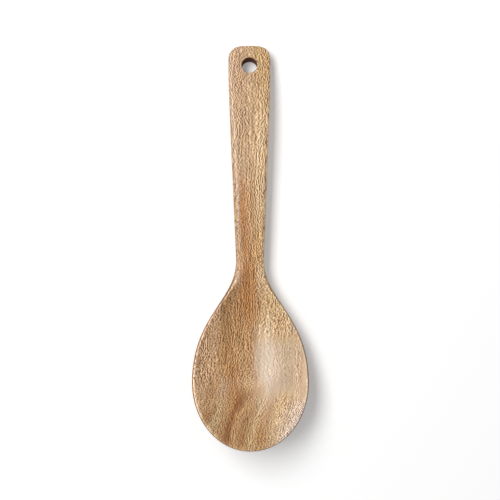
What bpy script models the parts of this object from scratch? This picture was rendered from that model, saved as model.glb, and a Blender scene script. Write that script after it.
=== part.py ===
"""A wooden serving spoon, carved from one piece, in metres.

It lies as it rests on a table: +Z is up, the handle end is at +Y and the bowl's tip at -Y. One half
is lofted through sections that run from the middle out to the edge and back underneath. The half is
mirrored, and a turned cutter makes the hanging hole.
"""

import math

import bmesh
import bpy
from mathutils import Matrix, Vector

# Outline seen from above
LENGTH = 0.250
END_WIDTH = 0.0263
END_BOW_RADIUS = 0.060
CORNER_RADIUS = 0.0080
PARALLEL_LENGTH = 0.0252
NECK_WIDTH = 0.0175
NECK_TO_TIP = 0.1171
NECK_FLARE = 0.0263
BOWL_FLARE = 0.0404
BOWL_WIDTH = 0.0719
WIDEST_TO_TIP = 0.0414

# Heights and thicknesses seen from the side
END_THICKNESS = 0.0084
END_SLOPE = math.radians(9.0)
FLAT_LENGTH = 0.0240
ARCH_TO_TIP = 0.1500
ARCH_HEIGHT = 0.0145
ARCH_THICKNESS = 0.0098
SADDLE_TO_TIP = 0.0880
SADDLE_HEIGHT = 0.0128
TIP_HEIGHT = 0.0300
TIP_SLOPE = math.radians(7.4)
HANDLE_CROWN = 0.0005

# Bowl
DEEPEST_TO_TIP = 0.0690
FLOOR_THICKNESS = 0.0042
HOLLOW_FULLNESS = 2.15
RIM_EASE = 0.04
HULL_UPRIGHT = 0.0030
SWELL_FROM_END = 0.0660
BELLY_FLAT = 0.04

# Rounded edges: how far each reaches in from the outline, and the share of it the handle's falls
TOP_EDGE_END = 0.0026
TOP_EDGE_NECK = 0.0045
TOP_EDGE_FALL = 0.5
RIM_EDGE = 0.0012
LOWER_EDGE = 0.0030
SIDE_BAND = 0.0005

# Hanging hole
HOLE_DIAMETER = 0.0098
HOLE_FROM_END = 0.0134
HOLE_EASE = 0.0002
CUTTER_OVERRUN = 0.0020

# Facets
END_STEPS = 2
CORNER_STEPS = 7
HANDLE_STEPS = 16
SHOULDER_STEPS = 22
TIP_STEPS = 20
TOP_STEPS = 9
EDGE_STEPS = 4
UNDER_STEPS = 8
HOLE_STEPS = 40

QUARTER_ROUND = 0.5523
SLOPE_STEP = 0.001
WOOD_COLOUR = (0.48, 0.26, 0.12, 1.0)
WOOD_ROUGHNESS = 0.45

NECK_AT = LENGTH - NECK_TO_TIP
WIDEST_AT = LENGTH - WIDEST_TO_TIP
DEEPEST_AT = LENGTH - DEEPEST_TO_TIP
ARCH_AT = LENGTH - ARCH_TO_TIP
SADDLE_AT = LENGTH - SADDLE_TO_TIP


def mix(first, second, share):
    """The value a share of the way from first to second."""
    return first + (second - first) * share


def ease(value, start, end):
    """A share that goes smoothly from 0 at start to 1 at end."""
    share = min(max((value - start) / (end - start), 0.0), 1.0)
    return share * share * (3.0 - 2.0 * share)


def bezier(p0, p1, p2, p3, t):
    """A point on a cubic curve with two ends and two handles."""
    s = 1.0 - t
    return p0 * s**3 + p1 * 3 * s * s * t + p2 * 3 * s * t * t + p3 * t**3


def curve_between(along, start, end):
    """Height of a smooth curve between two (along, height, slope) knots."""
    x0, z0, slope0 = start
    x1, z1, slope1 = end
    reach = x1 - x0
    third = reach / 3.0
    t = (along - x0) / reach
    return bezier(z0, z0 + slope0 * third, z1 - slope1 * third, z1, t)


def top_height(along):
    """Height of the handle's upper edge and of the bowl's rim above the belly."""
    slope = math.tan(END_SLOPE)
    if along <= FLAT_LENGTH:
        return END_THICKNESS + along * slope
    arch = (ARCH_AT, ARCH_HEIGHT, 0.0)
    if along <= ARCH_AT:
        return curve_between(along, (FLAT_LENGTH, END_THICKNESS + FLAT_LENGTH * slope, slope), arch)
    saddle = (SADDLE_AT, SADDLE_HEIGHT, 0.0)
    if along <= SADDLE_AT:
        return curve_between(along, arch, saddle)
    return curve_between(along, saddle, (LENGTH, TIP_HEIGHT, math.tan(TIP_SLOPE)))


def middle_height(along):
    """Height of the top's middle line, crowned on the handle and sunk into the bowl."""
    if along <= NECK_AT:
        return top_height(along) + HANDLE_CROWN * ease(along, FLAT_LENGTH, NECK_AT)
    slope = (top_height(NECK_AT) - top_height(NECK_AT - SLOPE_STEP)) / SLOPE_STEP
    neck = (NECK_AT, top_height(NECK_AT) + HANDLE_CROWN, slope)
    return curve_between(along, neck, (DEEPEST_AT, FLOOR_THICKNESS, 0.0))


def under_height(along):
    """Height of the underside's middle line above the belly."""
    slope = math.tan(END_SLOPE)
    if along <= FLAT_LENGTH:
        return along * slope
    arch = (ARCH_AT, ARCH_HEIGHT - ARCH_THICKNESS, 0.0)
    if along <= ARCH_AT:
        return curve_between(along, (FLAT_LENGTH, FLAT_LENGTH * slope, slope), arch)
    if along <= DEEPEST_AT:
        return curve_between(along, arch, (DEEPEST_AT, 0.0, 0.0))
    return 0.0


def outline():
    """Points and outward directions of the half outline, as (x, along), from end to tip."""
    stations = []
    corner_x = END_WIDTH / 2 - CORNER_RADIUS
    corner_along = END_BOW_RADIUS - math.sqrt((END_BOW_RADIUS - CORNER_RADIUS) ** 2 - corner_x**2)
    meeting = math.atan2(corner_x, END_BOW_RADIUS - corner_along)

    # Bowed end
    for step in range(END_STEPS):
        angle = meeting * step / END_STEPS
        out = Vector((math.sin(angle), -math.cos(angle)))
        stations.append((Vector((0.0, END_BOW_RADIUS)) + out * END_BOW_RADIUS, out))

    # Corner
    for step in range(CORNER_STEPS):
        angle = mix(meeting, math.pi / 2, step / CORNER_STEPS)
        out = Vector((math.sin(angle), -math.cos(angle)))
        stations.append((Vector((corner_x, corner_along)) + out * CORNER_RADIUS, out))

    # Side of the handle: parallel, then a taper to the neck
    start = Vector((END_WIDTH / 2, corner_along))
    bend = Vector((END_WIDTH / 2, PARALLEL_LENGTH))
    neck = Vector((NECK_WIDTH / 2, NECK_AT))
    stations += curve_stations((start, bend, bend, neck), HANDLE_STEPS)

    # Shoulder from the neck to the widest point
    taper = (neck - bend).normalized()
    widest = Vector((BOWL_WIDTH / 2, WIDEST_AT))
    handles = (neck + taper * NECK_FLARE, widest - Vector((0.0, BOWL_FLARE)))
    stations += curve_stations((neck, *handles, widest), SHOULDER_STEPS)

    # Tip of the bowl, a quarter of an ellipse
    for step in range(TIP_STEPS + 1):
        angle = math.pi / 2 * step / TIP_STEPS
        point = Vector((BOWL_WIDTH / 2 * math.cos(angle), WIDEST_AT + WIDEST_TO_TIP * math.sin(angle)))
        out = Vector((WIDEST_TO_TIP * math.cos(angle), BOWL_WIDTH / 2 * math.sin(angle)))
        stations.append((point, out.normalized()))
    stations[0][0].x = stations[-1][0].x = 0.0
    return stations


def curve_stations(points, steps):
    """Stations along a cubic curve, without its last point."""
    stations = []
    for step in range(steps):
        t = step / steps
        ahead = bezier(*points, t + 0.001) - bezier(*points, max(t - 0.001, 0.0))
        stations.append((bezier(*points, t), Vector((ahead.y, -ahead.x)).normalized()))
    return stations


def hollow_share(reach):
    """Share of the hollow's depth at a reach of 0 at the middle and 1 at the rim's inner edge."""
    left = 1.0 - reach**HOLLOW_FULLNESS
    return max(left, 0.0) + max(RIM_EASE - abs(left), 0.0) ** 2 / (4.0 * RIM_EASE)


def section(edge, out):
    """Points of one half section, from the middle of the top, round the edge, to the middle below."""
    middle = Vector((0.0, min(max(edge.y, HOLE_FROM_END), DEEPEST_AT)))
    along = middle.y
    to_rim = ease(along, NECK_AT, SADDLE_AT)
    top_round = mix(mix(TOP_EDGE_END, TOP_EDGE_NECK, ease(along, 0.0, ARCH_AT)), RIM_EDGE, to_rim)
    top_fall = top_round * mix(TOP_EDGE_FALL, 1.0, to_rim)
    bowl = ease(along, SWELL_FROM_END, DEEPEST_AT)
    points = []

    # Top, out to where the edge starts to round over
    crest = edge - out * top_round
    rim = top_height(crest.y)
    carved = ease(along, NECK_AT, DEEPEST_AT)
    depth = mix(top_height(along), rim, carved) - middle_height(along)
    crest_reach = (1.0 + RIM_EASE) ** (1.0 / HOLLOW_FULLNESS)
    for step in range(TOP_STEPS + 1):
        share = math.sin(math.pi / 2 * step / TOP_STEPS)
        plan = mix(middle, crest, share)
        uncarved = mix(top_height(plan.y), rim, carved)
        points.append((plan, uncarved - depth * hollow_share(share * crest_reach)))

    # Upper edge, a quarter of an ellipse
    for step in range(1, EDGE_STEPS + 1):
        angle = math.pi / 2 * step / EDGE_STEPS
        plan = crest + out * top_round * math.sin(angle)
        points.append((plan, top_height(plan.y) - top_fall * (1.0 - math.cos(angle))))

    # Underside: a rounded lower edge on the handle, the whole hull on the bowl
    base = under_height(edge.y)
    whole = points[-1][1] - SIDE_BAND - base
    lower_round = mix(min(LOWER_EDGE, whole), whole, bowl)
    upright = mix(lower_round * QUARTER_ROUND, HULL_UPRIGHT, bowl)
    foot = mix(edge - out * LOWER_EDGE, mix(edge, middle, 1.0 - BELLY_FLAT), bowl)
    for step in range(UNDER_STEPS + 1):
        t = step / UNDER_STEPS
        inward = bezier(0.0, 0.0, 1.0 - QUARTER_ROUND, 1.0, t)
        rise = bezier(lower_round, lower_round - upright, 0.0, 0.0, t)
        plan = mix(edge, foot, inward)
        points.append((plan, under_height(plan.y) + rise))
    points.append((middle, under_height(along)))
    return [(plan.x, -plan.y, height) for plan, height in points]


def loft_half():
    """Mesh of the spoon's +X half, open at the middle plane."""
    mesh = bmesh.new()
    rows = [[mesh.verts.new(point) for point in section(*station)] for station in outline()]
    for row, ahead in zip(rows, rows[1:]):
        for i in range(len(row) - 1):
            mesh.faces.new((row[i], ahead[i], ahead[i + 1], row[i + 1]))
    bmesh.ops.remove_doubles(mesh, verts=mesh.verts, dist=1e-6)
    half = bpy.data.meshes.new("spoon")
    mesh.to_mesh(half)
    mesh.free()
    half.shade_smooth()
    return half


def hole_cutter(collection):
    """A turned cutter square to the handle's flat end, which also eases the hole's two rims."""
    radius = HOLE_DIAMETER / 2
    wide = radius + HOLE_EASE
    half_thickness = END_THICKNESS * math.cos(END_SLOPE) / 2
    beyond = half_thickness + CUTTER_OVERRUN
    narrow = half_thickness - HOLE_EASE
    profile = [(0.0, beyond), (wide, beyond), (wide, half_thickness), (radius, narrow)]
    profile += [(r, -z) for r, z in reversed(profile)]
    mesh = bpy.data.meshes.new("hole_cutter")
    edges = [(i, i + 1) for i in range(len(profile) - 1)]
    mesh.from_pydata([(r, 0.0, z) for r, z in profile], edges, [])
    cutter = bpy.data.objects.new("hole_cutter", mesh)
    collection.objects.link(cutter)
    screw = cutter.modifiers.new("Turn", "SCREW")
    screw.steps = screw.render_steps = HOLE_STEPS
    screw.use_merge_vertices = True
    screw.merge_threshold = 0.00001
    middle = END_THICKNESS / 2 + HOLE_FROM_END * math.tan(END_SLOPE)
    cutter.location = (0.0, -HOLE_FROM_END, middle)
    cutter.rotation_euler.x = -END_SLOPE
    cutter.hide_render = True
    cutter.display_type = "WIRE"
    return cutter


def resting_tilt(points):
    """Turn about X that brings the handle end and the belly down on one level."""
    hull = []
    for point in sorted((y, z) for _, y, z in points):
        while len(hull) > 1 and turns_down(hull[-2], hull[-1], point):
            hull.pop()
        hull.append(point)
    (y0, z0), (y1, z1) = max(zip(hull, hull[1:]), key=lambda pair: pair[1][0] - pair[0][0])
    return -math.atan2(z1 - z0, y1 - y0)


def turns_down(first, second, third):
    """Whether a path through three side view points bends down or goes straight on."""
    run = (second[0] - first[0]) * (third[1] - first[1])
    return run <= (second[1] - first[1]) * (third[0] - first[0])


def lay_down(spoon):
    """Turn and move the spoon to rest on Z = 0 with its box centred on the origin."""
    tilt = resting_tilt([vertex.co for vertex in spoon.data.vertices])
    turn = Matrix.Rotation(tilt, 3, "X")
    points = [turn @ vertex.co for vertex in spoon.data.vertices]
    along = [point.y for point in points]
    spoon.rotation_euler.x = tilt
    spoon.location.y = -(min(along) + max(along)) / 2
    spoon.location.z = -min(point.z for point in points)


def wood():
    """Plain satin hardwood."""
    material = bpy.data.materials.new("wood")
    material.use_nodes = True
    shader = material.node_tree.nodes["Principled BSDF"]
    shader.inputs["Base Color"].default_value = WOOD_COLOUR
    shader.inputs["Roughness"].default_value = WOOD_ROUGHNESS
    shader.inputs["Metallic"].default_value = 0.0
    return material


def make_spoon(parts, cutters):
    """The spoon: a mirrored loft with the hanging hole cut through."""
    spoon = bpy.data.objects.new("spoon", loft_half())
    parts.objects.link(spoon)
    spoon.data.materials.append(wood())
    mirror = spoon.modifiers.new("Other half", "MIRROR")
    mirror.use_mirror_merge = True
    mirror.merge_threshold = 0.00001
    cutter = hole_cutter(cutters)
    cutter.parent = spoon
    cut = spoon.modifiers.new("Hanging hole", "BOOLEAN")
    cut.operation = "DIFFERENCE"
    cut.solver = "EXACT"
    cut.object = cutter
    spoon.modifiers.new("Shading", "WEIGHTED_NORMAL")
    lay_down(spoon)
    return spoon


def main():
    for old in list(bpy.data.objects):
        bpy.data.objects.remove(old, do_unlink=True)
    parts = bpy.data.collections.new("Wooden spoon")
    cutters = bpy.data.collections.new("Cutters")
    for collection in (parts, cutters):
        bpy.context.scene.collection.children.link(collection)
    make_spoon(parts, cutters)


main()
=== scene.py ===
"""Looks of the carved wooden spoon: a fine version of its form, its wood, and a plain studio."""

import math

import bmesh
import bpy
from mathutils import Matrix, Vector


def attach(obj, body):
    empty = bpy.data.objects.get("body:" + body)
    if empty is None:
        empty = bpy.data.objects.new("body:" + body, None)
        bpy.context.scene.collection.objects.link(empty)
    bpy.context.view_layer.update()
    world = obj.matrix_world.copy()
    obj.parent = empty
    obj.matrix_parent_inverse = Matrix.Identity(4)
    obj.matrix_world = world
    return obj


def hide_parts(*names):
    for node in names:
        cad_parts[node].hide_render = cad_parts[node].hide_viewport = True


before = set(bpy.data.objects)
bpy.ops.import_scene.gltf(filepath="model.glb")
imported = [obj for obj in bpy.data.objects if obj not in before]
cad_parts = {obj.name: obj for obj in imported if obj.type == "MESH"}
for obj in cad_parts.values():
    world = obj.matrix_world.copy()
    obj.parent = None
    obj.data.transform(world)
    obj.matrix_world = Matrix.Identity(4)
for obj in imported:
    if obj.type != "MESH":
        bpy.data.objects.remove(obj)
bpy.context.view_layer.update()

MM = 0.001

# Outline seen from above, as in the CAD model
LENGTH = 0.250
END_WIDTH = 0.0263
END_BOW_RADIUS = 0.060
CORNER_RADIUS = 0.0080
PARALLEL_LENGTH = 0.0252
NECK_WIDTH = 0.0175
NECK_TO_TIP = 0.1171
NECK_FLARE = 0.0263
BOWL_FLARE = 0.0404
BOWL_WIDTH = 0.0719
WIDEST_TO_TIP = 0.0414

# Heights and thicknesses seen from the side
END_THICKNESS = 0.0084
END_SLOPE = math.radians(9.0)
FLAT_LENGTH = 0.0240
ARCH_TO_TIP = 0.1500
ARCH_HEIGHT = 0.0145
ARCH_THICKNESS = 0.0098
SADDLE_TO_TIP = 0.0880
SADDLE_HEIGHT = 0.0128
TIP_HEIGHT = 0.0300
TIP_SLOPE = math.radians(7.4)
HANDLE_CROWN = 0.0005

# Bowl
DEEPEST_TO_TIP = 0.0690
FLOOR_THICKNESS = 0.0042
HOLLOW_FULLNESS = 2.15
RIM_EASE = 0.04
HULL_UPRIGHT = 0.0030
SWELL_FROM_END = 0.0660
BELLY_FLAT = 0.04

# Rounded edges: how far each reaches in from the outline, and the share of that by which the
# handle's upper edge falls
TOP_EDGE_END = 0.0026
TOP_EDGE_NECK = 0.0045
TOP_EDGE_FALL = 0.5
RIM_EDGE = 0.0012
LOWER_EDGE = 0.0030
SIDE_BAND = 0.0005

# Hanging hole
HOLE_DIAMETER = 0.0098
HOLE_FROM_END = 0.0134
HOLE_EASE = 0.0002
CUTTER_OVERRUN = 0.0020

# Fineness of the mesh
END_STEPS = 8
CORNER_STEPS = 16
HANDLE_STEPS = 64
SHOULDER_STEPS = 64
TIP_STEPS = 60
TOP_STEPS = 34
EDGE_STEPS = 8
UNDER_STEPS = 24
HOLE_STEPS = 72

# A curve's handle for a quarter circle of radius 1, the steps that slopes are measured over (share
# of a curve, m), the distances within which points are joined (m), and the angle of a sharp edge
QUARTER_ROUND = 0.5523
CURVE_STEP = 0.001
SLOPE_STEP = 0.001
WELD_WITHIN = 0.000001
JOIN_WITHIN = 0.00001
SHARP_ANGLE = math.radians(30.0)

# Places along the spoon, from the end of the handle
NECK_AT = LENGTH - NECK_TO_TIP
WIDEST_AT = LENGTH - WIDEST_TO_TIP
DEEPEST_AT = LENGTH - DEEPEST_TO_TIP
ARCH_AT = LENGTH - ARCH_TO_TIP
SADDLE_AT = LENGTH - SADDLE_TO_TIP

# The tilt at which the spoon rests, and the scale that keeps it a hair inside the CAD model's box
REST_TILT = math.radians(-0.1413)
INSIDE_CAD = 0.9995

# Camera: straight down, as in the photograph (m, sensor in mm)
CAMERA_HEIGHT = 0.620
CAMERA_ALONG = -0.0031
CAMERA_ROLL = math.radians(-0.2)
SENSOR = 36.0
FRAME_PIXELS = 500
FOCAL_PIXELS = 978.4

# Light and table (m, W)
SOFTBOX_PLACE = Vector((-0.667, 0.431, 1.389))
SOFTBOX_SIZE = (0.67, 1.36)
SOFTBOX_POWER = 21.0
FILL_LIGHT = 0.29
FLOOR_SIZE = 6.0
FLOOR_WHITE = 0.93
FLOOR_GLOW = 0.21

# Wood colours, from the sapwood's tan to the darkest streaks
TAN = (0.530, 0.320, 0.165, 1.0)
LIGHT = (0.670, 0.440, 0.232, 1.0)
GOLD = (0.555, 0.335, 0.138, 1.0)
BROWN = (0.475, 0.240, 0.086, 1.0)
WALL = (0.630, 0.360, 0.170, 1.0)
# Paler wood of the bowl's right half with painted sheen in it
PALE_AND_SHEEN = (0.522, 0.376, 0.252, 1.0)
# Paler wood along the bowl's lower right rim with painted sheen in it
PINK_AND_SHEEN = (0.625, 0.428, 0.280, 1.0)
SAND = (0.530, 0.318, 0.135, 1.0)
OLIVE = (0.450, 0.222, 0.072, 1.0)
ORANGE = (0.420, 0.165, 0.035, 1.0)
DARK = (0.270, 0.095, 0.018, 1.0)
RUST = (0.350, 0.120, 0.012, 1.0)
COCOA = (0.350, 0.155, 0.040, 1.0)
HONEY = (0.560, 0.310, 0.115, 1.0)
DUSK = (0.400, 0.265, 0.180, 1.0)
# The hole's wall: its brown end grain darkened further as painted shade
HOLE_BROWN_AND_SHADE = (0.150, 0.065, 0.040, 1.0)

# Areas and marks that the photograph shows: colour, (left, right, soft edge) and (towards the tip,
# towards the handle's end, soft edge) in mm from the spoon's middle, and strength. Later ones lie
# over earlier ones
PATCHES = (
    (GOLD, (2.5, 40.0, 2.5), (-44.0, 22.0, 14.0), 1.0),
    (BROWN, (-30.0, 1.2, 2.6), (-84.0, -26.0, 9.0), 1.0),
    (COCOA, (-13.0, 1.0, 2.0), (-78.0, -52.0, 6.0), 0.15),
    (BROWN, (-1.0, 3.2, 0.8), (-80.0, -50.0, 5.0), 0.8),
    (BROWN, (-30.0, 7.0, 3.0), (-48.0, -30.0, 8.0), 1.0),
    (BROWN, (-3.0, 5.0, 2.5), (-52.0, 2.0, 7.0), 0.9),
    (LIGHT, (3.8, 20.0, 1.5), (-33.0, 30.0, 8.0), 0.5),
    (HONEY, (1.5, 7.0, 1.5), (-12.0, 10.0, 7.0), 0.9),
    (BROWN, (-7.6, 1.5, 2.0), (-20.0, 39.0, 9.0), 0.85),
    (RUST, (-6.4, -2.8, 1.3), (12.0, 42.0, 6.0), 0.65),
    (RUST, (-5.2, -2.0, 1.3), (-4.0, 18.0, 6.0), 0.6),
    (RUST, (-4.6, -0.4, 1.3), (-20.0, 4.0, 5.0), 0.45),
    (SAND, (2.0, 20.0, 2.0), (96.0, 130.0, 6.0), 1.0),
    (SAND, (2.0, 20.0, 2.0), (82.0, 96.0, 4.0), 0.6),
    (SAND, (-40.0, 40.0, 3.0), (-130.0, -92.0, 6.0), 1.0),
    (WALL, (-50.0, -19.0, 2.0), (-112.0, -34.0, 5.0), 1.0),
    (OLIVE, (-18.6, -12.4, 1.8), (-74.0, -36.0, 4.0), 1.0),
    (OLIVE, (-21.5, -13.0, 1.6), (-80.0, -60.0, 5.0), 0.6),
    (OLIVE, (-10.6, -7.6, 0.8), (-59.0, -28.0, 5.0), 0.9),
    (ORANGE, (-6.5, 3.0, 2.8), (-46.0, -14.0, 7.0), 0.72),
    (ORANGE, (-0.2, 1.4, 0.6), (-60.0, -40.0, 5.0), 0.35),
    # Paler wood on the bowl's right half, partly painted sheen
    (PALE_AND_SHEEN, (3.5, 60.0, 1.2), (-92.0, -58.0, 8.0), 1.0),
    (SAND, (1.5, 9.0, 2.0), (-102.0, -86.0, 6.0), 0.7),
    (BROWN, (0.0, 6.0, 2.0), (-102.0, -80.0, 6.0), 0.75),
    (BROWN, (13.4, 17.4, 1.8), (-92.0, -54.0, 6.0), 0.28),
    (DUSK, (10.0, 19.0, 3.0), (-101.0, -84.0, 4.0), 0.35),
    (DUSK, (0.5, 3.5, 1.2), (-84.0, -52.0, 6.0), 0.30),
    (DUSK, (0.0, 6.0, 2.0), (-98.0, -82.0, 4.0), 0.35),
    (SAND, (-10.0, -2.0, 3.0), (-82.0, -62.0, 5.0), 0.20),
    (BROWN, (15.0, 22.0, 3.0), (-54.0, -44.0, 4.0), 0.45),
    (HONEY, (-4.8, 0.6, 1.0), (-94.0, -77.0, 6.0), 0.5),
    (OLIVE, (-12.0, -10.4, 0.6), (-86.0, -72.0, 3.0), 0.9),
    (COCOA, (0.8, 7.6, 2.8), (-135.0, -101.0, 8.0), 0.9),
    (OLIVE, (12.4, 19.4, 2.2), (-135.0, -95.0, 6.0), 0.9),
    (COCOA, (13.0, 20.0, 2.5), (-126.0, -111.0, 4.0), 0.5),
    (BROWN, (-12.0, 1.5, 2.4), (-135.0, -88.0, 6.0), 1.0),
    (ORANGE, (-14.5, -6.0, 2.5), (-97.0, -75.0, 5.0), 0.50),
    (DARK, (-6.9, -2.5, 2.4), (-140.0, -91.0, 7.0), 0.95),
    (COCOA, (-27.0, -20.0, 1.8), (-100.0, -82.0, 5.0), 0.55),
    (COCOA, (-24.0, -18.5, 1.8), (-114.0, -100.0, 5.0), 0.85),
    (COCOA, (-16.5, -12.5, 1.5), (-74.0, -58.0, 4.0), 0.35),
    (ORANGE, (-15.0, -13.0, 0.9), (-122.0, -112.0, 3.0), 0.6),
    # Paler wood along the lower right rim, partly painted sheen
    (PINK_AND_SHEEN, (27.0, 60.0, 5.0), (-125.0, -66.0, 12.0), 0.9),
    (BROWN, (-40.0, 60.0, 3.0), (-140.0, -122.0, 3.0), 0.5),
    (DARK, (-0.4, 0.2, 0.3), (-22.0, -5.0, 1.5), 0.7),
    (DARK, (-1.9, -1.4, 0.25), (96.0, 103.5, 1.0), 0.7),
    (DARK, (2.8, 3.3, 0.25), (58.0, 76.0, 2.0), 0.7),
    (DARK, (8.9, 9.4, 0.25), (72.5, 77.5, 1.0), 0.6),
)

# Where TAN passes into LIGHT beneath them, across the grain (mm)
LIGHT_SIDE = (-1.0, 5.0)

# Tints, which the colour under them is multiplied by
PORE_TINT = (0.17, 0.05, 0.0, 1.0)
PORE_WARMTH = (1.0, 0.82, 0.35, 1.0)
PALE_TINT = (1.42, 1.64, 2.00, 1.0)
PALE_BOWL_TINT = (1.62, 1.95, 2.60, 1.0)
BOWL_TINT = (0.915, 0.905, 0.865, 1.0)
GAIN = (1.17, 1.185, 1.16)
# Painted highlight on the bowl's rounded rim
RIM_PAINTED_HIGHLIGHT = (1.32, 1.42, 1.55, 1.0)
# Painted shade: the dark outline on the rim's outer edge
EDGE_PAINTED_SHADE = (0.44, 0.32, 0.20, 1.0)
# Darker sides and end: partly their grain, partly painted shade
SIDE_GRAIN_AND_SHADE = (0.50, 0.42, 0.36, 1.0)
SIDES_DARK = 0.8

# Bends of the grain (mm): it wanders slowly, and near the tip it leans and its fibres get shorter
WANDER = 0.8
WANDER_SIZE = 50.0
WANDER_SEED = 4.7
LEAN_BETWEEN = (-88.0, -118.0)
LEAN = 10.0
CUT_FROM = -84.0
CUT = 1.3

# Noise: its middle value, and the span of it that is drawn out to go from -1 to 1
NOISE_MIDDLE = 0.5
NOISE_SPAN = (0.30, 0.70)

# Streaks: width, length and depth in mm, seed and detail; how far they push the edges of the areas
# to and fro (mm), and how much they lighten and darken the wood
MEDIUM_STREAKS = (3.0, 70.0, 12.0, 11.7, 3.0)
MEDIUM_PUSH = 0.8
MEDIUM_TONE = 0.06
THIN_STREAKS = (1.1, 22.0, 5.0, 23.3, 1.0)
THIN_PUSH = 0.4
THIN_TONE = 0.12

# Fibres (mm), how much the two beside one oppose it, and how far apart in the noise they may lie
FIBRE_WIDTH = 0.64
FIBRE_DEPTH = 1.6
FIBRE_HALO = 0.38
FIBRE_SPREAD = (1000.0, 37.0)

# Tones of a fibre: length (mm), seed, noise from and to, strength, and strength where lines show;
# and the tones between which the wood turns to a dark pore or a pale fibre
FIBRE_TONES = (
    (9.0, 41.9, 0.30, 0.70, 0.20, 0.42),
    (0.55, 57.3, 0.30, 0.70, 0.86, 0.66),
    (1.2, 5.3, 0.70, 0.50, 0.45, 0.40),
)
DARK_FIBRES = (-0.08, -0.52)
PALE_FIBRES = (-0.1, 0.9)

# Where the fibres show as lines: low, high and soft edge along the spoon (mm), and the bowl's share
HANDLE_LINES = (34.0, 76.0, 9.0)
BOWL_LINES = (-64.0, -30.0, 9.0)
BOWL_LINED = 0.5

# Strength of the fibres: 1 at the handle's end and more towards the bowl, in the dull streak and in
# some of the streaks, but less on the sides and in the bowl's calm right half (places in mm)
LOUDER_ALONG = (25.0, -45.0)
LOUD_BOWL = 2.1
LOUD_DULL = 0.55
LOUD_STREAKS = 0.25
CALM_SIDE = (0.5, 3.0)
CALM_TOP = (-46.0, -60.0)
CALM_LOW = (-102.0, -92.0)
CALM = 1.72
CALM_ON_SIDES = 0.6

# The normal's Z where the sides, the rim and the edge outside it start and where they are full, and
# the share of a side from which its fibres lie in layers
SIDES_FACING = (0.75, 0.15)
SIDES_TURN = 0.5
RIM_FACING = (0.86, 0.94)
EDGE_FACING = (0.96, 0.84)

# The rim (mm): where it starts along the spoon and how high up, the middle of the bowl along the
# spoon, and how far the surface leans away from that middle on the rim and on the edge outside it
# They place the painted highlight on the rim and the painted shade on the edge outside it
RIM_ALONG = (-12.0, -30.0)
RIM_ABOVE = (8.0, 10.0)
RIM_CENTRE = -83.6
RIM_OUTWARD = (-3.0, 0.0)
EDGE_OUTWARD = (0.0, 3.0)

# The bowl's own tint sets in (mm along the spoon)
BOWL_BEGINS = (-20.0, -50.0)

# Hanging hole (mm): its middle along the spoon and up, and how far outside its wall the dark brown
# of painted shade ends
HOLE_MIDDLE = (111.57, 5.91)
HOLE_SHADE_REACH = (0.20, 0.05)

# Gloss: its roughness, the dull streak in the neck (low, high and soft edge in mm), how much duller
# that streak and the hole's wall are, and the relief of the pores (m)
GLOSS_ROUGHNESS = 0.27
DULL_ACROSS = (-6.3, 1.0, 1.3)
DULL_ALONG = (-14.0, 34.0, 10.0)
DULLNESS = 0.30
HOLE_DULLNESS = 0.70
PORE_RELIEF = 1.0
PORE_DEPTH = 0.000015

# A colour Mix node's sockets by number, as its other data types have sockets of the same names
MIX_SHARE, MIX_FIRST, MIX_SECOND, MIX_RESULT = 0, 6, 7, 2


def mix(first, second, share):
    """The value a share of the way from first to second."""
    return first + (second - first) * share


def ease(value, start, end):
    """A share that goes smoothly from 0 at start to 1 at end."""
    share = min(max((value - start) / (end - start), 0.0), 1.0)
    return share * share * (3.0 - 2.0 * share)


def bezier(p0, p1, p2, p3, t):
    """A point on a cubic curve with two ends and two handles."""
    s = 1.0 - t
    return p0 * s**3 + p1 * 3 * s * s * t + p2 * 3 * s * t * t + p3 * t**3


def curve_between(along, start, end):
    """Height of a smooth curve between two (along, height, slope) knots."""
    x0, z0, slope0 = start
    x1, z1, slope1 = end
    third = (x1 - x0) / 3.0
    return bezier(z0, z0 + slope0 * third, z1 - slope1 * third, z1, (along - x0) / (x1 - x0))


def top_height(along):
    """Height of the handle's upper edge and of the bowl's rim above the belly."""
    slope = math.tan(END_SLOPE)
    if along <= FLAT_LENGTH:
        return END_THICKNESS + along * slope
    arch = (ARCH_AT, ARCH_HEIGHT, 0.0)
    if along <= ARCH_AT:
        flat = (FLAT_LENGTH, END_THICKNESS + FLAT_LENGTH * slope, slope)
        return curve_between(along, flat, arch)
    saddle = (SADDLE_AT, SADDLE_HEIGHT, 0.0)
    if along <= SADDLE_AT:
        return curve_between(along, arch, saddle)
    return curve_between(along, saddle, (LENGTH, TIP_HEIGHT, math.tan(TIP_SLOPE)))


def middle_height(along):
    """Height of the top's middle line, crowned on the handle and sunk into the bowl."""
    if along <= NECK_AT:
        return top_height(along) + HANDLE_CROWN * ease(along, FLAT_LENGTH, NECK_AT)
    slope = (top_height(NECK_AT) - top_height(NECK_AT - SLOPE_STEP)) / SLOPE_STEP
    neck = (NECK_AT, top_height(NECK_AT) + HANDLE_CROWN, slope)
    return curve_between(along, neck, (DEEPEST_AT, FLOOR_THICKNESS, 0.0))


def under_height(along):
    """Height of the underside's middle line above the belly."""
    slope = math.tan(END_SLOPE)
    if along <= FLAT_LENGTH:
        return along * slope
    arch = (ARCH_AT, ARCH_HEIGHT - ARCH_THICKNESS, 0.0)
    if along <= ARCH_AT:
        return curve_between(along, (FLAT_LENGTH, FLAT_LENGTH * slope, slope), arch)
    if along <= DEEPEST_AT:
        return curve_between(along, arch, (DEEPEST_AT, 0.0, 0.0))
    return 0.0


def curve_stations(points, steps):
    """Stations along a cubic curve, without its last point."""
    stations = []
    for step in range(steps):
        t = step / steps
        ahead = bezier(*points, t + CURVE_STEP) - bezier(*points, max(t - CURVE_STEP, 0.0))
        stations.append((bezier(*points, t), Vector((ahead.y, -ahead.x)).normalized()))
    return stations


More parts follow.
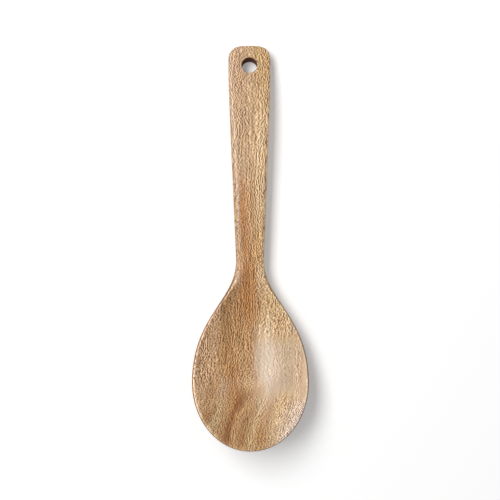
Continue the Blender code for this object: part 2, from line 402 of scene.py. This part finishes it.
def arc_stations(centre, radius, start, end, steps):
    """Stations round an arc, at angles from straight back, without its last point."""
    stations = []
    for step in range(steps):
        angle = mix(start, end, step / steps)
        out = Vector((math.sin(angle), -math.cos(angle)))
        stations.append((centre + out * radius, out))
    return stations


def outline():
    """Points and outward directions of the half outline, as (x, along), from end to tip."""
    corner_x = END_WIDTH / 2 - CORNER_RADIUS
    corner_along = END_BOW_RADIUS - math.sqrt((END_BOW_RADIUS - CORNER_RADIUS) ** 2 - corner_x**2)
    meeting = math.atan2(corner_x, END_BOW_RADIUS - corner_along)
    stations = arc_stations(Vector((0.0, END_BOW_RADIUS)), END_BOW_RADIUS, 0.0, meeting, END_STEPS)
    corner = Vector((corner_x, corner_along))
    stations += arc_stations(corner, CORNER_RADIUS, meeting, math.pi / 2, CORNER_STEPS)

    start = Vector((END_WIDTH / 2, corner_along))
    bend = Vector((END_WIDTH / 2, PARALLEL_LENGTH))
    neck = Vector((NECK_WIDTH / 2, NECK_AT))
    stations += curve_stations((start, bend, bend, neck), HANDLE_STEPS)

    taper = (neck - bend).normalized()
    widest = Vector((BOWL_WIDTH / 2, WIDEST_AT))
    handles = (neck + taper * NECK_FLARE, widest - Vector((0.0, BOWL_FLARE)))
    stations += curve_stations((neck, *handles, widest), SHOULDER_STEPS)

    for step in range(TIP_STEPS + 1):
        angle = math.pi / 2 * step / TIP_STEPS
        sideways, ahead = math.cos(angle), math.sin(angle)
        point = Vector((BOWL_WIDTH / 2 * sideways, WIDEST_AT + WIDEST_TO_TIP * ahead))
        out = Vector((WIDEST_TO_TIP * sideways, BOWL_WIDTH / 2 * ahead))
        stations.append((point, out.normalized()))

    # The first and the last point lie exactly in the middle plane, where the halves join
    stations[0][0].x = stations[-1][0].x = 0.0
    return stations


def hollow_share(reach):
    """Share of the hollow's depth: 1 at the middle, falling to 0 with a soft bend at the rim."""
    left = 1.0 - reach**HOLLOW_FULLNESS
    return max(left, 0.0) + max(RIM_EASE - abs(left), 0.0) ** 2 / (4.0 * RIM_EASE)


def section(edge, out):
    """Points of one half section: from the top's middle out, round the edge, and back below."""
    # Near the end the sections fan out from the hole, and near the tip from the deepest point
    middle = Vector((0.0, min(max(edge.y, HOLE_FROM_END), DEEPEST_AT)))
    along = middle.y
    to_rim = ease(along, NECK_AT, SADDLE_AT)
    top_round = mix(mix(TOP_EDGE_END, TOP_EDGE_NECK, ease(along, 0.0, ARCH_AT)), RIM_EDGE, to_rim)
    top_fall = top_round * mix(TOP_EDGE_FALL, 1.0, to_rim)
    bowl = ease(along, SWELL_FROM_END, DEEPEST_AT)
    points = []

    # Top, out to where the edge starts to round over
    crest = edge - out * top_round
    rim = top_height(crest.y)
    carved = ease(along, NECK_AT, DEEPEST_AT)
    depth = mix(top_height(along), rim, carved) - middle_height(along)
    crest_reach = (1.0 + RIM_EASE) ** (1.0 / HOLLOW_FULLNESS)
    for step in range(TOP_STEPS + 1):
        share = math.sin(math.pi / 2 * step / TOP_STEPS)
        plan = mix(middle, crest, share)
        uncarved = mix(top_height(plan.y), rim, carved)
        points.append((plan, uncarved - depth * hollow_share(share * crest_reach)))

    # Upper edge, a quarter of an ellipse
    for step in range(1, EDGE_STEPS + 1):
        angle = math.pi / 2 * step / EDGE_STEPS
        plan = crest + out * top_round * math.sin(angle)
        points.append((plan, top_height(plan.y) - top_fall * (1.0 - math.cos(angle))))

    # Underside: a rounded lower edge on the handle, the whole hull on the bowl
    base = under_height(edge.y)
    whole = points[-1][1] - SIDE_BAND - base
    lower_round = mix(min(LOWER_EDGE, whole), whole, bowl)
    upright = mix(lower_round * QUARTER_ROUND, HULL_UPRIGHT, bowl)
    foot = mix(edge - out * LOWER_EDGE, mix(edge, middle, 1.0 - BELLY_FLAT), bowl)
    for step in range(UNDER_STEPS + 1):
        t = step / UNDER_STEPS
        inward = bezier(0.0, 0.0, 1.0 - QUARTER_ROUND, 1.0, t)
        rise = bezier(lower_round, lower_round - upright, 0.0, 0.0, t)
        plan = mix(edge, foot, inward)
        points.append((plan, under_height(plan.y) + rise))
    points.append((middle, under_height(along)))
    return [(plan.x, -plan.y, height) for plan, height in points]


def loft_half():
    """Mesh of the spoon's +X half, open at the middle plane."""
    mesh = bmesh.new()
    rows = [[mesh.verts.new(point) for point in section(*station)] for station in outline()]
    for row, ahead in zip(rows, rows[1:]):
        for i in range(len(row) - 1):
            mesh.faces.new((row[i], ahead[i], ahead[i + 1], row[i + 1]))
    bmesh.ops.remove_doubles(mesh, verts=mesh.verts, dist=WELD_WITHIN)
    half = bpy.data.meshes.new("carved_spoon")
    mesh.to_mesh(half)
    mesh.free()
    return half


def new_object(name, data):
    """An object of some data, put into the scene."""
    made = bpy.data.objects.new(name, data)
    bpy.context.scene.collection.objects.link(made)
    return made


def hole_cutter():
    """A turned cutter square to the handle's flat end, which also eases the hole's two rims."""
    radius = HOLE_DIAMETER / 2
    wide = radius + HOLE_EASE
    half_thickness = END_THICKNESS * math.cos(END_SLOPE) / 2
    beyond = half_thickness + CUTTER_OVERRUN
    narrow = half_thickness - HOLE_EASE
    profile = [(0.0, beyond), (wide, beyond), (wide, half_thickness), (radius, narrow)]
    profile += [(r, -z) for r, z in reversed(profile)]
    mesh = bpy.data.meshes.new("hole_cutter")
    edges = [(i, i + 1) for i in range(len(profile) - 1)]
    mesh.from_pydata([(r, 0.0, z) for r, z in profile], edges, [])
    cutter = new_object("hole_cutter", mesh)
    screw = cutter.modifiers.new("Turn", "SCREW")
    screw.steps = screw.render_steps = HOLE_STEPS
    screw.use_merge_vertices = True
    screw.merge_threshold = JOIN_WITHIN
    middle = END_THICKNESS / 2 + HOLE_FROM_END * math.tan(END_SLOPE)
    cutter.location = (0.0, -HOLE_FROM_END, middle)
    cutter.rotation_euler.x = -END_SLOPE
    return cutter


def resting(mesh):
    """Lay a spoon mesh down as the CAD model lies, a hair inside that model's box."""
    mesh.transform(Matrix.Rotation(REST_TILT, 4, "X"))
    along = [vertex.co.y for vertex in mesh.vertices]
    lowest = min(vertex.co.z for vertex in mesh.vertices)
    mesh.transform(Matrix.Translation((0.0, -(min(along) + max(along)) / 2, -lowest)))
    mesh.transform(Matrix.Scale(INSIDE_CAD, 4))


def carved_spoon():
    """The whole spoon as a fine mesh, lying where the CAD model lies."""
    half = new_object("carved_half", loft_half())
    half.modifiers.new("Other half", "MIRROR").merge_threshold = JOIN_WITHIN
    cutter = hole_cutter()
    cut = half.modifiers.new("Hanging hole", "BOOLEAN")
    cut.object = cutter
    cut.solver = "EXACT"
    bpy.context.view_layer.update()
    whole = half.evaluated_get(bpy.context.evaluated_depsgraph_get())
    mesh = bpy.data.meshes.new_from_object(whole)
    for spare in (half, cutter):
        bpy.data.objects.remove(spare)
    mesh.name = "carved_spoon"
    resting(mesh)
    mesh.shade_smooth()
    mesh.set_sharp_from_angle(angle=SHARP_ANGLE)
    spoon = new_object("carved_spoon", mesh)
    spoon.modifiers.new("Shading", "WEIGHTED_NORMAL").keep_sharp = True
    return spoon


class Wiring:
    """Short calls that add and join the nodes of one material or world."""

    def __init__(self, block):
        block.use_nodes = True
        self.tree = block.node_tree

    def feed(self, socket, value):
        """Join a node's output to a socket, or set the socket to a plain value."""
        if isinstance(value, bpy.types.NodeSocket):
            self.tree.links.new(value, socket)
        else:
            socket.default_value = value

    def node(self, kind, settings=None, **inputs):
        """A new node, its settings, and its inputs by socket name."""
        node = self.tree.nodes.new(kind)
        for name, setting in (settings or {}).items():
            setattr(node, name, setting)
        for name, value in inputs.items():
            self.feed(node.inputs[name.replace("_", " ")], value)
        return node

    def math(self, operation, *values):
        """One step of arithmetic."""
        node = self.node("ShaderNodeMath", {"operation": operation})
        for socket, value in zip(node.inputs, values):
            self.feed(socket, value)
        return node.outputs[0]

    def add(self, *values):
        return self.math("ADD", *values)

    def times(self, *values):
        return self.math("MULTIPLY", *values)

    def step(self, value, start, end, low=0.0, high=1.0):
        """Low where value is at start, high where it is at end, and smooth between."""
        settings = {"interpolation_type": "SMOOTHSTEP"}
        node = self.node("ShaderNodeMapRange", settings, Value=value)
        limits = {"From Min": start, "From Max": end, "To Min": low, "To Max": high}
        for name, number in limits.items():
            self.feed(node.inputs[name], number)
        return node.outputs[0]

    def band(self, value, low, high, edge):
        """1 between low and high, 0 outside, with soft edges of the given half width."""
        up = self.step(value, low - edge, low + edge)
        return self.times(up, self.step(value, high + edge, high - edge))

    def point(self, x, y, z):
        return self.node("ShaderNodeCombineXYZ", X=x, Y=y, Z=z).outputs[0]

    def noise(self, place, detail=2.0):
        """Soft noise from 0 to 1."""
        node = self.node("ShaderNodeTexNoise", Vector=place, Scale=1.0, Detail=detail)
        return node.outputs["Fac"]

    def chance(self, place):
        """A number from 0 to 1 that looks random and is the same wherever the place is the same."""
        settings = {"noise_dimensions": "3D"}
        return self.node("ShaderNodeTexWhiteNoise", settings, Vector=place).outputs["Value"]

    def blend(self, share, first, second, mode="MIX"):
        """Two colours mixed, or the second laid over the first in another mode."""
        node = self.node("ShaderNodeMix", {"data_type": "RGBA", "blend_type": mode})
        for socket, value in ((MIX_SHARE, share), (MIX_FIRST, first), (MIX_SECOND, second)):
            self.feed(node.inputs[socket], value)
        return node.outputs[MIX_RESULT]

    def tint(self, share, colour, tint):
        """The colour multiplied by a tint, as far as the share says."""
        return self.blend(share, colour, tint, "MULTIPLY")


def shade(value):
    """A grey colour of one plain value."""
    return (value, value, value, 1.0)


def grain_place(wiring):
    """Place in the wood in mm: across the grain, along it and through it, and across the spoon."""
    place = wiring.node("ShaderNodeTexCoord").outputs["Object"]
    settings = {"operation": "SCALE"}
    scaled = wiring.node("ShaderNodeVectorMath", settings, Vector=place, Scale=1.0 / MM).outputs[0]
    axes = wiring.node("ShaderNodeSeparateXYZ", Vector=scaled).outputs
    x, along, deep = axes["X"], axes["Y"], axes["Z"]
    slow = (wiring.times(axis, 1.0 / WANDER_SIZE) for axis in (x, along))
    wander = wiring.add(wiring.noise(wiring.point(*slow, WANDER_SEED)), -NOISE_MIDDLE)
    lean = wiring.step(along, *LEAN_BETWEEN, 0.0, LEAN)
    across = wiring.add(wiring.add(x, wiring.times(wander, WANDER)), lean)
    return across, along, deep, x


def streaks(wiring, across, along, deep, width, length, depth, seed, detail):
    """Noise drawn out along the grain, from -1 to 1."""
    place = wiring.point(wiring.add(wiring.times(across, 1.0 / width), seed),
                         wiring.times(along, 1.0 / length), wiring.times(deep, 1.0 / depth))
    return wiring.step(wiring.noise(place, detail), *NOISE_SPAN, -1.0, 1.0)


def fibre_tone(wiring, column, along, under, lined):
    """Tone of one thin fibre, with noise of its own along it and short dark pores."""
    times, add = wiring.times, wiring.add
    shift = wiring.chance(wiring.point(column, 0.0, 0.0))
    layer = wiring.math("FLOOR", add(times(under, 1.0 / FIBRE_DEPTH), shift))
    start = wiring.chance(wiring.point(column, layer, 1.0))
    sideways, lengthways = (times(start, spread) for spread in FIBRE_SPREAD)
    tone = 0.0
    for length, seed, low, high, plain, in_lines in FIBRE_TONES:
        place = wiring.point(sideways, add(times(along, 1.0 / length), lengthways), seed)
        varied = wiring.step(wiring.noise(place, 0.0), low, high, -1.0, 1.0)
        tone = add(tone, times(varied, add(plain, times(lined, in_lines - plain))))
    return tone


def fibres(wiring, across, along, deep, sides):
    """Tones of the thin fibres, each opposed by the two beside it."""
    times, add = wiring.times, wiring.add

    # Towards the tip the fibres come up to the surface, so they show shorter
    cut = wiring.math("MAXIMUM", wiring.math("SUBTRACT", CUT_FROM, along), 0.0)
    shorter = add(along, times(cut, -CUT))

    # On the sides they lie in layers over each other, elsewhere beside each other
    on_side = wiring.math("GREATER_THAN", sides, SIDES_TURN)
    turned = times(on_side, add(deep, times(across, -1.0)))
    beside, under = add(across, turned), add(deep, times(turned, -1.0))

    # They show as lines on the sides, in the handle's middle and, less so, where the bowl begins
    in_bowl = times(wiring.band(along, *BOWL_LINES), BOWL_LINED)
    lined = wiring.math("MAXIMUM", add(wiring.band(along, *HANDLE_LINES), in_bowl), sides)

    column = wiring.math("FLOOR", times(beside, 1.0 / FIBRE_WIDTH))
    here, before, after = (fibre_tone(wiring, add(column, shift), shorter, under, lined)
                           for shift in (0.0, -1.0, 1.0))
    return add(here, times(add(before, after), -FIBRE_HALO))


def fibre_strength(wiring, ragged, along, medium, sides, dull):
    """How strongly the fibres darken and lighten the wood."""
    step, times, add = wiring.step, wiring.times, wiring.add
    calm = times(times(step(ragged, *CALM_SIDE), step(along, *CALM_TOP)), step(along, *CALM_LOW))
    loud = add(step(along, *LOUDER_ALONG, 1.0, LOUD_BOWL), times(medium, LOUD_STREAKS))
    loud = add(add(loud, times(dull, LOUD_DULL)), times(calm, -CALM))
    return times(loud, add(1.0, times(sides, -CALM_ON_SIDES)))


def painted_rim_highlight_and_edge_shade(wiring, x, along, deep, facing):
    """Masks for the painted highlight on the bowl's rounded rim and the painted shade on the edge
    outside it.
    """
    step, times, add = wiring.step, wiring.times, wiring.add
    outward = add(times(facing["X"], x), times(facing["Y"], add(along, -RIM_CENTRE)))
    bowl = times(step(along, *RIM_ALONG), step(deep, *RIM_ABOVE))
    rim = times(times(step(outward, *RIM_OUTWARD), bowl), step(facing["Z"], *RIM_FACING))
    edge = times(times(step(outward, *EDGE_OUTWARD), bowl), step(facing["Z"], *EDGE_FACING))
    return rim, edge


def in_hole(wiring, x, along, deep):
    """1 on the wall of the hanging hole, 0 elsewhere."""
    middle_along, middle_deep = HOLE_MIDDLE
    tilt = END_SLOPE - REST_TILT
    off = wiring.add(wiring.times(wiring.add(along, -middle_along), math.cos(tilt)),
                     wiring.times(wiring.add(deep, -middle_deep), -math.sin(tilt)))
    squares = wiring.add(wiring.times(x, x), wiring.times(off, off))
    radius = HOLE_DIAMETER / MM / 2
    return wiring.step(squares, *((radius + beyond) ** 2 for beyond in HOLE_SHADE_REACH))


def wood():
    """Oiled acacia: tan sapwood with a browner heart, lengthwise streaks and short dark pores."""
    material = bpy.data.materials.new("acacia")
    wiring = Wiring(material)
    step, times, add, tint = wiring.step, wiring.times, wiring.add, wiring.tint
    across, along, deep, x = grain_place(wiring)
    medium = streaks(wiring, across, along, deep, *MEDIUM_STREAKS)
    thin = streaks(wiring, across, along, deep, *THIN_STREAKS)
    ragged = add(across, add(times(medium, MEDIUM_PUSH), times(thin, THIN_PUSH)))
    normal = wiring.node("ShaderNodeNewGeometry").outputs["Normal"]
    facing = wiring.node("ShaderNodeSeparateXYZ", Vector=normal).outputs
    sides = step(wiring.math("ABSOLUTE", facing["Z"]), *SIDES_FACING)
    rim, edge = painted_rim_highlight_and_edge_shade(wiring, x, along, deep, facing)
    hole = in_hole(wiring, x, along, deep)
    dull = times(wiring.band(across, *DULL_ACROSS), wiring.band(along, *DULL_ALONG))
    bowl = step(along, *BOWL_BEGINS)

    # Areas and marks
    colour = wiring.blend(step(ragged, *LIGHT_SIDE), TAN, LIGHT)
    for tone, sideways, lengthways, strength in PATCHES:
        there = times(wiring.band(ragged, *sideways), wiring.band(along, *lengthways))
        colour = wiring.blend(times(there, strength), colour, tone)

    # Fibres and pores
    grain = fibres(wiring, across, along, deep, sides)
    loud = fibre_strength(wiring, ragged, along, medium, sides, dull)
    dark = times(step(grain, *DARK_FIBRES), loud)
    pale = times(step(grain, *PALE_FIBRES), loud)
    colour = tint(dark, colour, PORE_TINT)
    colour = tint(dark, colour, PORE_WARMTH)
    colour = tint(bowl, colour, BOWL_TINT)
    colour = tint(pale, colour, wiring.blend(bowl, PALE_TINT, PALE_BOWL_TINT))

    # Streaks, and the level of the whole
    tones = add(1.0, add(times(medium, MEDIUM_TONE), times(thin, THIN_TONE)))
    colour = tint(1.0, colour, wiring.point(*(times(tones, gain) for gain in GAIN)))

    # Painted light: a highlight on the rim and shade on its outer edge; the sides and end darker,
    # partly for their grain and partly as painted shade; the hole's wall brown with painted shade
    colour = tint(rim, colour, RIM_PAINTED_HIGHLIGHT)
    colour = tint(edge, colour, EDGE_PAINTED_SHADE)
    colour = tint(times(sides, SIDES_DARK), colour, SIDE_GRAIN_AND_SHADE)
    colour = wiring.blend(hole, colour, HOLE_BROWN_AND_SHADE)

    shader = wiring.tree.nodes["Principled BSDF"]
    wiring.feed(shader.inputs["Base Color"], colour)
    rough = add(GLOSS_ROUGHNESS, add(times(dull, DULLNESS), times(hole, HOLE_DULLNESS)))
    wiring.feed(shader.inputs["Roughness"], rough)
    relief = wiring.node("ShaderNodeBump", Strength=PORE_RELIEF, Distance=PORE_DEPTH, Height=grain)
    wiring.feed(shader.inputs["Normal"], relief.outputs["Normal"])
    return material


def seen(wiring):
    """1 for what is seen, straight, mirrored or through glass, and 0 for light on the object."""
    path = wiring.node("ShaderNodeLightPath").outputs
    mirrored = wiring.math("MAXIMUM", path["Is Glossy Ray"], path["Is Transmission Ray"])
    return wiring.math("MAXIMUM", path["Is Camera Ray"], mirrored)


def add_floor():
    """A plain pale table top, which takes the spoon's shadow."""
    mesh = bpy.data.meshes.new("table_top")
    reach = FLOOR_SIZE / 2
    corners = [(-reach, -reach), (reach, -reach), (reach, reach), (-reach, reach)]
    mesh.from_pydata([(x, y, 0.0) for x, y in corners], [], [(0, 1, 2, 3)])
    floor = new_object("table_top", mesh)
    material = bpy.data.materials.new("white_table")
    wiring = Wiring(material)
    shader = wiring.tree.nodes["Principled BSDF"]
    shader.inputs["Base Color"].default_value = shade(FLOOR_WHITE)
    shader.inputs["Roughness"].default_value = 1.0
    shader.inputs["Specular IOR Level"].default_value = 0.0
    shader.inputs["Emission Color"].default_value = shade(1.0)
    wiring.feed(shader.inputs["Emission Strength"], wiring.times(seen(wiring), FLOOR_GLOW))
    mesh.materials.append(material)


def add_surroundings():
    """A white studio: it looks white, and lights the spoon softly from everywhere."""
    world = bpy.data.worlds.new("studio")
    bpy.context.scene.world = world
    wiring = Wiring(world)
    back = wiring.tree.nodes["Background"]
    back.inputs["Color"].default_value = shade(1.0)
    wiring.feed(back.inputs["Strength"], wiring.step(seen(wiring), 0.0, 1.0, FILL_LIGHT, 1.0))


def add_softbox():
    """One long softbox up on the left, turned to face the spoon."""
    lamp = bpy.data.lights.new("softbox", "AREA")
    lamp.shape = "RECTANGLE"
    lamp.size, lamp.size_y = SOFTBOX_SIZE
    lamp.energy = SOFTBOX_POWER
    softbox = new_object("softbox", lamp)
    out = SOFTBOX_PLACE.normalized()
    along = (Vector((0.0, 1.0, 0.0)) - out * out.y).normalized()
    turn = Matrix((along.cross(out), along, out)).transposed().to_4x4()
    softbox.matrix_world = Matrix.Translation(SOFTBOX_PLACE) @ turn


def add_camera():
    """The camera looks straight down on the spoon's middle."""
    data = bpy.data.cameras.new("camera")
    data.sensor_width = SENSOR
    data.lens = SENSOR * FOCAL_PIXELS / FRAME_PIXELS
    camera = new_object("camera", data)
    camera.location = (0.0, CAMERA_ALONG, CAMERA_HEIGHT)
    camera.rotation_euler = (0.0, 0.0, CAMERA_ROLL)
    bpy.context.scene.camera = camera


bpy.context.scene.view_settings.view_transform = "Standard"
add_camera()
add_surroundings()
add_softbox()
add_floor()
spoon = carved_spoon()
spoon.data.materials.clear()
spoon.data.materials.append(wood())
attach(spoon, "root")
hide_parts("spoon")
